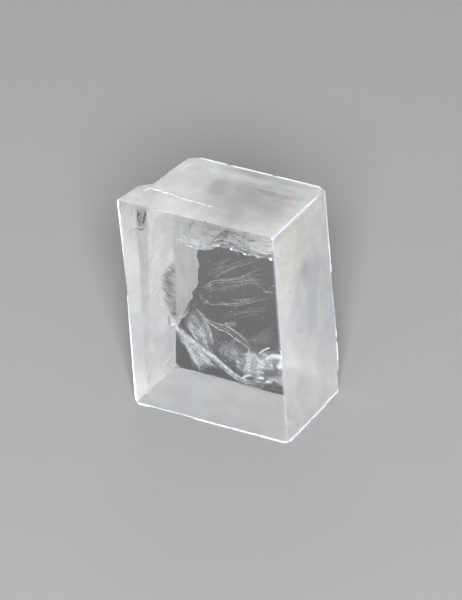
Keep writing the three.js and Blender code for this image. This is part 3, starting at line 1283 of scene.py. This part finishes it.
@dataclass(frozen=True)
class GreatCrack:
    """The curved crack across the lower half: its bright foot, its shell and the fan between.

    Args:
        foot: the two edges of its bright foot.
        arm: those of the steep arm at the foot's left end.
        fuzz: those of the veil beside the arm.
        shell: those of the shell over the foot.
        floor: those of the shell's floor.
        crest: the line along the shell's upper edge.
        hairs: the fine lines along the crest, the arcs, the foot and the arm.
    """

    foot: Edges = (
        Route.even(
            17.0, 10.0, (2.6, 12.4), (5.1, 11.4), (7.9, 10.3), (10.7, 9.4), (13.2, 8.6), (15.1, 7.8),
            (17.6, 6.7), (20.7, 6.2), (23.9, 6.9), (26.7, 7.8)),
        Route.even(
            17.5, 10.5, (1.9, 10.7), (4.2, 9.5), (7.0, 8.3), (9.8, 7.4), (12.3, 6.9), (14.4, 6.5),
            (17.0, 5.8), (20.1, 5.5), (23.6, 6.3), (26.4, 7.3)),
    )
    arm: Edges = (
        Route.even(17.5, 18.5, (1.9, 11.0), (2.9, 9.0), (4.2, 7.0), (4.9, 4.8), (5.4, 2.9), (5.9, 1.5)),
        Route.even(17.0, 18.0, (2.8, 11.5), (4.1, 9.5), (5.6, 7.8), (6.6, 6.0), (7.4, 4.2), (7.8, 2.2)),
    )
    fuzz: Edges = (
        Route.even(16.5, 17.5, (4.8, 9.1), (5.6, 7.2), (6.4, 5.0), (7.0, 2.8)),
        Route.even(15.5, 14.0, (7.3, 9.5), (9.6, 8.4), (12.0, 7.2), (14.1, 6.0)),
    )
    shell: Edges = (
        Route.even(15.0, 14.5, (5.5, 14.3), (5.8, 12.2), (7.4, 10.4), (9.5, 8.8), (11.8, 8.0)),
        Route.even(13.0, 13.0, (8.4, 18.5), (9.9, 17.9), (11.7, 16.4), (13.2, 14.3), (14.1, 11.4)),
    )
    floor: Edges = (
        Route(((11.8, 14.5, 8.0), (15.1, 13.3, 7.9), (20.0, 12.0, 6.6), (25.0, 10.6, 7.2))),
        Route(((14.1, 13.0, 12.4), (17.8, 10.4, 15.4), (21.6, 9.0, 14.9), (25.4, 7.2, 13.0))),
    )
    crest: Route = Route.even(
        13.0, 6.5, (8.5, 19.8), (11.1, 18.2), (12.8, 17.3), (15.0, 16.8), (17.8, 16.8), (20.4, 16.1),
        (22.6, 15.6), (24.2, 14.7), (25.9, 13.7))
    hairs: tuple[Hair, ...] = (
        Hair(0.15, 1, 0.0, crest),
        Hair(0.08, 6, 0.5, crest),
        Hair(0.08, 7, 0.8, Route.even(
            12.8, 6.3, (10.0, 18.6), (13.2, 17.3), (17.5, 17.4), (20.7, 16.7), (22.8, 16.0), (24.8, 15.0),
            (26.3, 14.5))),
        Hair(0.06, 10, 0.7, Route.even(
            13.4, 14.9, (7.8, 17.6), (9.3, 16.3), (10.1, 14.1), (10.5, 11.8), (10.6, 9.8), (11.0, 8.4))),
        Hair(0.07, 10, 0.6, Route.even(
            13.1, 14.5, (8.9, 18.8), (10.6, 17.4), (11.7, 15.4), (12.1, 13.2), (12.2, 10.8), (12.5, 9.1))),
        Hair(0.06, 8, 0.6, Route((
            (6.5, 14.4, 15.5), (7.0, 14.7, 13.6), (7.5, 14.9, 12.0), (8.2, 15.1, 10.4), (9.2, 15.4, 8.9)))),
        Hair(0.08, 34, 0.9, Route.even(
            17.2, 10.2, (2.4, 11.5), (4.8, 10.4), (7.6, 9.3), (10.4, 8.3), (13.0, 7.5), (15.0, 6.8),
            (17.4, 5.9), (20.5, 5.5), (23.8, 6.3), (26.6, 7.2))),
        Hair(0.07, 26, 1.3, Route((
            (2.4, 17.3, 11.2), (3.6, 17.5, 9.2), (5.0, 17.6, 7.3), (5.9, 17.8, 5.3), (6.6, 18.1, 3.5),
            (7.0, 18.3, 1.9)))),
    )

    def cracks(self) -> list[Crack]:
        """The sheets it is made of.

        Returns:
            The sheets.
        """
        sweep = (self.foot[0].at(0.8) - self.foot[0].at(0.2)).normalized()
        drop = (self.arm[0].at(1.0) - self.arm[0].at(0.0)).normalized()
        return [
            Crack("bright_foot", self.foot, FractureSilver(
                sweep, 1.0, stroke=0.14 * MM, stroke_length=3 * MM, patchy=0.6, patch_size=1.5 * MM,
                fade=0.05)),
            Crack("foot_veil", self.foot, FractureSilver(
                sweep, 0.6, stroke=0.3 * MM, patchy=0.8, patch_size=1.3 * MM), rows=7, buckle=1.6 * MM),
            Crack("steep_arm", self.arm, FractureSilver(
                drop, 0.8, stroke=0.16 * MM, patchy=0.8, patch_size=1.5 * MM, fade=0.3),
                columns=14, buckle=0.9 * MM),
            Crack("arm_veil", self.fuzz, FractureSilver(
                sweep, 1.0, stroke=0.22 * MM, patchy=0.9, fade=0.3), columns=14, rows=8, buckle=1.4 * MM),
            Crack("shell", self.shell, FractureSilver(
                drop, 0.42, stroke=0.3 * MM, stroke_length=6 * MM, break_up=0.9, patchy=0.7,
                patch_size=1.8 * MM, fade=0.35), columns=18, rows=8, buckle=1 * MM, buckle_size=3 * MM),
            Crack("shell_floor", self.floor, FractureSilver(
                LATTICE.directions[2], 0.4, stroke=0.2 * MM, patchy=0.7, patch_size=1.6 * MM, fade=0.3),
                rows=8),
        ]

    def lines(self) -> HairCracks:
        """Its fine lines."""
        return HairCracks("great_crack_lines", HairGleam("great_crack_gleam", 0.85, 0.6), self.hairs)


@dataclass(frozen=True)
class Fractures:
    """All the cracks inside the crystal.

    Args:
        top: the two edges of the crack under the top face.
        lip: those of its ragged front edge.
        pale: those of the faint veil in the middle.
        dash: those of the short bright dash in the lower half.
        knot: those of the bright knot where the great crack starts.
        dusk: those of the dark patch behind the left edge, a streaked crack whose dark colour is painted
            shade.
        bruise: those of the bruised spot in the upper left corner, whose dark colour is painted shade.
        crumple: those of the crumpled silvery crack low on the right.
        glints: those of the glints along the crumple.
        hairs: the fine lines that fan out across the middle, and the small star on their right.
        marks: the dark jagged lines of painted shade under the top face and in the bruised spot.
    """

    top: Edges = (
        Route.even(
            0.5, 0.5, (13.4, 39.9), (17.0, 38.8), (19.8, 39.1), (22.3, 40.6), (24.5, 40.7), (28.8, 40.7),
            (33.4, 40.7)),
        Route(((9.5, 19.5, 41.4), (17.0, 20.3, 41.2), (25.0, 20.3, 41.2), (33.4, 20.3, 41.0))),
    )
    lip: Edges = (
        Route.even(
            0.3, 0.3, (13.6, 39.7), (17.0, 38.6), (19.8, 38.9), (22.3, 40.4), (24.5, 40.4), (28.8, 40.3),
            (33.4, 40.3)),
        Route.even(
            2.0, 2.0, (13.2, 41.4), (17.0, 40.4), (19.8, 40.7), (22.3, 41.8), (24.5, 41.9), (28.8, 41.6),
            (33.4, 41.5)),
    )
    pale: Edges = (
        Route.even(8.0, 4.0, (22.8, 17.1), (26.9, 20.8), (31.7, 25.3)),
        Route.even(8.0, 4.0, (23.5, 15.6), (27.5, 17.4), (31.6, 19.3)),
    )
    dash: Edges = (
        Route.even(12.0, 11.0, (16.0, 17.6), (17.8, 18.5), (19.7, 19.2)),
        Route.even(12.0, 11.0, (16.1, 16.9), (17.7, 17.3), (19.6, 18.0)),
    )
    knot: Edges = (
        Route.even(17.0, 17.0, (1.6, 12.2), (2.3, 12.9), (3.1, 12.5)),
        Route.even(17.0, 17.0, (1.6, 11.1), (2.3, 11.0), (3.2, 11.6)),
    )
    dusk: Edges = (
        Route.even(8.0, 12.0, (7.5, 30.6), (5.3, 28.6), (3.5, 25.2), (3.1, 20.8), (3.9, 17.1), (4.7, 15.0)),
        Route.even(
            10.0, 13.0, (7.6, 29.5), (7.0, 26.4), (6.6, 23.8), (6.1, 21.2), (5.7, 18.1), (5.2, 15.0)),
    )
    bruise: Edges = (
        Route.even(2.2, 1.6, (3.4, 43.4), (4.7, 44.0), (6.0, 43.4)),
        Route.even(2.4, 1.8, (2.9, 39.0), (3.9, 38.6), (5.1, 39.4)),
    )
    crumple: Edges = (
        Route.even(8.0, 5.5, (20.0, 13.6), (23.3, 15.6), (27.5, 17.3), (33.3, 18.5)),
        Route.even(9.0, 6.5, (19.2, 9.0), (22.3, 8.2), (26.4, 8.3), (33.3, 9.0)),
    )
    glints: tuple[Edges, ...] = (
        (Route.even(6.2, 5.4, (25.8, 15.6), (27.3, 17.1), (29.3, 18.4)),
         Route.even(6.2, 5.4, (26.1, 15.2), (27.7, 16.7), (29.4, 17.8))),
        (Route.even(6.0, 4.9, (27.2, 15.0), (29.3, 16.9), (32.4, 17.9)),
         Route.even(6.0, 4.9, (27.7, 14.1), (29.4, 15.2), (32.4, 15.9))),
        (Route.even(7.5, 7.0, (22.3, 11.7), (23.1, 12.6), (24.0, 12.9)),
         Route.even(7.5, 7.0, (22.5, 11.1), (23.3, 11.7), (24.0, 12.1))),
        (Route.even(8.0, 7.2, (20.8, 8.2), (22.3, 9.6), (23.8, 10.3)),
         Route.even(8.0, 7.2, (21.2, 7.6), (22.6, 8.7), (23.9, 9.5))),
        (Route.even(6.8, 6.4, (25.1, 9.9), (26.2, 10.6), (26.9, 10.4)),
         Route.even(6.8, 6.4, (25.1, 9.2), (26.1, 9.6), (26.9, 9.7))),
        (Route.even(6.2, 5.8, (27.2, 9.9), (28.1, 10.5), (28.8, 10.5)),
         Route.even(6.2, 5.8, (27.3, 9.2), (28.0, 9.5), (28.8, 9.7))),
    )
    hairs: tuple[Hair, ...] = (
        Hair(0.06, 7, 0.9, Route.even(
            14.0, 6.0, (11.3, 23.4), (13.4, 25.4), (15.5, 26.9), (20.1, 28.8), (23.8, 31.1), (27.3, 33.6),
            (30.5, 35.3))),
        Hair(0.06, 6, 0.8, Route.even(
            13.5, 6.2, (13.9, 25.0), (19.5, 27.5), (24.1, 29.9), (26.8, 30.4), (29.5, 30.5))),
        Hair(0.06, 2, 0.8, Route.even(19.0, 19.5, (9.7, 23.3), (12.0, 25.7), (16.4, 30.0))),
        Hair(0.09, 2, 0.4, Route.even(13.8, 13.4, (11.6, 23.0), (13.0, 24.4), (14.3, 25.9))),
        Hair(0.06, 2, 0.3, Route.even(13.8, 13.4, (12.2, 24.5), (13.2, 24.2), (14.1, 23.8))),
        Hair(0.06, 2, 0.3, Route.even(13.6, 13.3, (12.7, 23.1), (13.5, 23.9), (14.3, 24.7))),
        Hair(0.09, 3, 0.3, Route.even(14.2, 13.8, (9.7, 22.1), (11.6, 20.4), (13.1, 20.8))),
        Hair(0.06, 7, 0.7, Route.even(
            13.9, 6.0, (11.6, 21.0), (13.0, 20.9), (16.5, 22.1), (20.0, 23.4), (23.4, 25.5), (26.9, 27.7),
            (30.1, 29.9))),
        Hair(0.08, 1, 0.0, Route.even(14.2, 14.0, (10.0, 21.6), (10.6, 20.6), (11.3, 19.5))),
        Hair(0.05, 3, 0.8, Route.even(10.0, 9.0, (18.9, 24.1), (21.4, 25.0), (23.9, 26.0))),
        Hair(0.05, 3, 0.9, Route.even(9.0, 7.0, (23.2, 23.9), (25.8, 24.7), (28.5, 26.0))),
        Hair(0.05, 2, 0.8, Route.even(10.0, 7.5, (20.3, 21.2), (23.8, 23.2), (27.7, 24.3))),
        Hair(0.06, 5, 1.0, Route.even(14.0, 8.0, (11.9, 24.3), (16.1, 28.2), (21.2, 32.0), (27.2, 35.8))),
        Hair(0.05, 4, 0.8, Route.even(14.0, 7.0, (11.1, 22.6), (16.6, 25.5), (22.8, 28.7), (29.3, 31.6))),
        Hair(0.05, 3, 0.8, Route.even(16.0, 12.0, (11.7, 26.6), (15.4, 30.0), (19.8, 33.0))),
        Hair(0.05, 3, 0.8, Route.even(12.0, 8.0, (15.4, 18.6), (20.9, 21.8), (26.9, 24.3))),
        Hair(0.30, 1, 0.0, Route.even(1.6, 1.6, (3.7, 41.1), (4.1, 41.3), (4.5, 40.9))),
        Hair(0.22, 1, 0.0, Route.even(1.8, 1.8, (2.3, 38.8), (2.7, 38.7), (3.0, 38.3))),
        Hair(0.18, 1, 0.0, Route.even(6.0, 5.4, (28.2, 30.1), (29.4, 30.2), (30.8, 30.6))),
        Hair(0.09, 1, 0.0, Route.even(5.9, 5.6, (28.9, 29.6), (29.7, 30.5), (30.2, 31.4))),
        Hair(0.08, 1, 0.0, Route.even(5.8, 5.5, (29.1, 30.7), (30.0, 30.1), (30.3, 29.7))),
    )
    marks: tuple[Hair, ...] = (
        Hair(0.22, 3, 0.35, Route.even(
            0.9, 0.9, (16.7, 40.5), (19.3, 41.9), (21.5, 42.0), (23.3, 43.6), (25.4, 43.7), (27.8, 43.3),
            (30.8, 43.2))),
        Hair(0.20, 3, 0.35, Route.even(
            0.9, 0.9, (17.7, 39.4), (19.6, 39.7), (22.0, 41.2), (24.1, 41.3), (26.3, 41.0), (28.5, 41.9))),
        Hair(0.20, 2, 0.3, Route.even(0.9, 0.9, (23.8, 43.5), (25.6, 42.6), (27.2, 41.8), (28.5, 41.4))),
        Hair(0.20, 2, 0.25, Route.even(0.9, 0.9, (19.4, 39.6), (20.6, 41.1), (21.6, 42.1))),
        Hair(0.16, 2, 0.2, Route.even(0.9, 0.9, (27.5, 43.3), (28.6, 42.8), (30.0, 43.2), (30.8, 43.0))),
        Hair(0.26, 2, 0.2, Route.even(1.2, 1.2, (3.8, 43.8), (4.0, 43.0), (3.8, 41.7), (4.1, 40.3))),
        Hair(0.30, 2, 0.2, Route.even(
            1.2, 1.2, (5.0, 44.2), (5.4, 43.6), (5.6, 42.7), (5.1, 41.5), (5.1, 39.9))),
        Hair(0.24, 1, 0.0, Route.even(1.2, 1.2, (3.4, 39.5), (4.1, 39.2), (5.0, 39.6))),
    )

    def _veils(self) -> list[Crack]:
        """The crack under the top face, and the small sheets and stains under it.

        Returns:
            The sheets.
        """
        along, _, upright = LATTICE.directions
        return [
            Crack("top_crack", self.top, FractureSilver(
                along, 1.0, Profile.EVEN, roughness=0.9, stroke=0.8 * MM, stroke_length=3 * MM,
                colour=(0.96, 0.95, 0.93, 1.0), break_up=0.3, patchy=0.3, patch_size=2.6 * MM, fade=0.12),
                columns=30, rows=12, buckle=0.35 * MM, buckle_size=1.6 * MM),
            Crack("top_crack_lip", self.lip, FractureSilver(
                along, 0.7, roughness=0.85, stroke_length=2 * MM, break_up=0.7, fade=0.1),
                columns=40, rows=4, buckle=0.45 * MM, buckle_size=1.1 * MM),
            Crack("pale_veil", self.pale, FractureSilver(
                along, 0.09, Profile.EVEN, roughness=0.6, break_up=0.3, fade=0.3), columns=12, rows=6),
            Crack("dash", self.dash, FractureSilver(
                along, 0.22, Profile.EVEN, break_up=0.6), columns=6, rows=2, buckle=0.05 * MM),
            Crack("knot", self.knot, FractureSilver(
                along, 0.75, roughness=0.6, break_up=0.5, patchy=0.3),
                columns=8, rows=4, buckle=0.4 * MM, buckle_size=0.6 * MM),
            # A streaked crack whose dark colour is painted shade.
            Crack("dusk_patch", self.dusk, FractureSilver(
                Vector((0.75, 0.2, -0.6)), 0.8, roughness=0.5, colour=(0.22, 0.23, 0.24, 1.0),
                stroke=0.45 * MM, stroke_length=3 * MM, patchy=0.3, fade=0.2), columns=14, rows=6),
            # The bruised spot in the upper left corner; its dark colour is painted shade.
            Crack("bruise", self.bruise, FractureSilver(
                upright, 1.0, roughness=0.35, colour=(0.2, 0.2, 0.19, 1.0), stroke=0.5 * MM,
                stroke_length=1 * MM, break_up=0.9, fade=0.35),
                columns=10, rows=8, buckle=0.9 * MM, buckle_size=1 * MM),
        ]

    def _crumple(self) -> list[Crack]:
        """The crumpled silvery crack low on the right, and the glints along it.

        Returns:
            The sheets.
        """
        along = LATTICE.directions[0]
        silver = FractureSilver(
            along, 1.0, stroke=0.7 * MM, stroke_length=2.5 * MM, break_up=0.8, patchy=0.9,
            patch_size=2.4 * MM, fade=0.12)
        glint = FractureSilver(along, 1.0, roughness=0.8, break_up=0.3, patchy=0.0)
        sizes = {"columns": 8, "rows": 3, "buckle": 0.4 * MM, "buckle_size": 0.7 * MM}
        return [
            Crack("silver_crumple", self.crumple, silver, columns=20, rows=12, buckle=1 * MM,
                  buckle_size=2.4 * MM),
            *(Crack(f"glint_{number}", edges, glint, **sizes) for number, edges in enumerate(self.glints)),
        ]

    def build(self) -> None:
        """Builds every crack."""
        great = GreatCrack()
        # Dark lines of painted shade, under the top face and in the bruised spot.
        dark = HairGleam("dark_mark", 0.6, 0.7, (0.15, 0.16, 0.16, 1.0))
        for piece in (
            *great.cracks(), *self._veils(), *self._crumple(), great.lines(),
            HairCracks("hair_cracks", HairGleam(), self.hairs),
            HairCracks("dark_marks", dark, self.marks, sway=0.16 * MM),
        ):
            piece.build()


@dataclass(frozen=True)
class Softbox:
    """A square lamp that shines on the crystal.

    Args:
        name: its name.
        power: its power, in watts.
        size: its side.
        distance: how far away it hangs.
        aim: the way it shines.
    """

    name: str
    power: float
    size: float
    distance: float
    aim: Vector

    def build(self, target: Vector) -> None:
        """Hangs it.

        Args:
            target: what it shines on.
        """
        data = bpy.data.lights.new(self.name, "AREA")
        data.energy = self.power
        data.size = self.size
        lamp = bpy.data.objects.new(self.name, data)
        aim = self.aim.normalized()
        turn = (-aim).to_track_quat("Z", "Y").to_matrix().to_4x4()
        lamp.matrix_world = Matrix.Translation(target - self.distance * aim) @ turn
        bpy.context.scene.collection.objects.link(lamp)


@dataclass(frozen=True)
class Studio:
    """The floor, the light and the camera.

    Args:
        target: what the camera points at.
        distance: how far away it is.
        lens: its focal length, in millimetres.
        right: the image's rightward direction.
        up: its upward direction.
        ahead: the way the camera looks.
        floor_size: the floor's side.
        floor_drop: how far under the crystal the floor lies.
        horizon: how bright the surround is at the horizon.
        zenith: how bright it is overhead.
        lamps: the key light over the camera, and the fill low behind the crystal.
        bounces: how often light may turn, by its kind.
    """

    target: Vector = Vector((-6.4, 11.1, 16.0)) * MM
    distance: float = 633.4 * MM
    lens: float = 180.0
    right: Vector = Vector((0.9359, 0.3510, 0.0303))
    up: Vector = Vector((-0.2388, 0.5690, 0.7869))
    ahead: Vector = Vector((-0.2590, 0.7437, -0.6164))
    floor_size: float = 6.0
    floor_drop: float = 0.05 * MM
    horizon: float = 1.2
    zenith: float = 0.3
    lamps: tuple[Softbox, ...] = (
        Softbox("key", 51.0, 0.5, 1.3, Vector((-0.2590, 0.7437, -0.58))),
        Softbox("fill", 2.4, 0.4, 0.8, Vector((0.26, -0.74, -0.15))),
    )
    bounces: dict[str, int] = field(default_factory=lambda: {
        "max_bounces": 24,
        "transmission_bounces": 20,
        "glossy_bounces": 12,
        "transparent_max_bounces": 24,
    })

    def _floor(self) -> None:
        """Lays the floor."""
        bpy.ops.object.select_all(action="DESELECT")
        bpy.ops.mesh.primitive_plane_add(size=self.floor_size, location=(0, 0, -self.floor_drop))
        floor = bpy.context.object
        floor.name = "floor"
        floor.data.materials.append(PaleFloor().material())

    def _camera(self) -> None:
        """Sets the camera by its three axes."""
        data = bpy.data.cameras.new("camera")
        data.lens = self.lens
        data.sensor_width = 36.0
        data.clip_start = 0.01
        camera = bpy.data.objects.new("camera", data)
        axes = Matrix((self.right, self.up, -self.ahead)).transposed().to_4x4()
        camera.matrix_world = Matrix.Translation(self.target - self.distance * self.ahead) @ axes
        bpy.context.scene.collection.objects.link(camera)
        bpy.context.scene.camera = camera

    def _surround(self) -> None:
        """Lights the crystal from all round, brightest near the horizon."""
        world = bpy.data.worlds.new("surround")
        world.use_nodes = True
        bpy.context.scene.world = world
        board = Board(world.node_tree, "ShaderNodeOutputWorld")
        height = board.node("ShaderNodeSeparateXYZ", Vector=board.position()).outputs[2]
        level = (1.0 - board.signal(height).clamped()) ** 2.0
        strength = self.zenith + (self.horizon - self.zenith) * level
        board.show(board.node("ShaderNodeBackground", Color=WHITE, Strength=strength).outputs[0])

    def build(self) -> None:
        """Sets up the floor, the light and the camera."""
        self._camera()
        self._floor()
        self._surround()
        for lamp in self.lamps:
            lamp.build(self.target)
        scene = bpy.context.scene
        scene.view_settings.view_transform = "Standard"
        scene.cycles.caustics_refractive = False
        for kind, most in self.bounces.items():
            setattr(scene.cycles, kind, most)


def main() -> None:
    """Builds the scene."""
    logging.basicConfig(level=logging.INFO)
    steps: dict[str, Callable[[], object]] = {
        "studio": Studio().build,
        "crystal": Crystal().build,
        "fractures": Fractures().build,
        "specks": Specks().build,
    }
    for name, build in steps.items():
        build()
        log.info("%s is done", name)


if __name__ == "__main__":
    main()
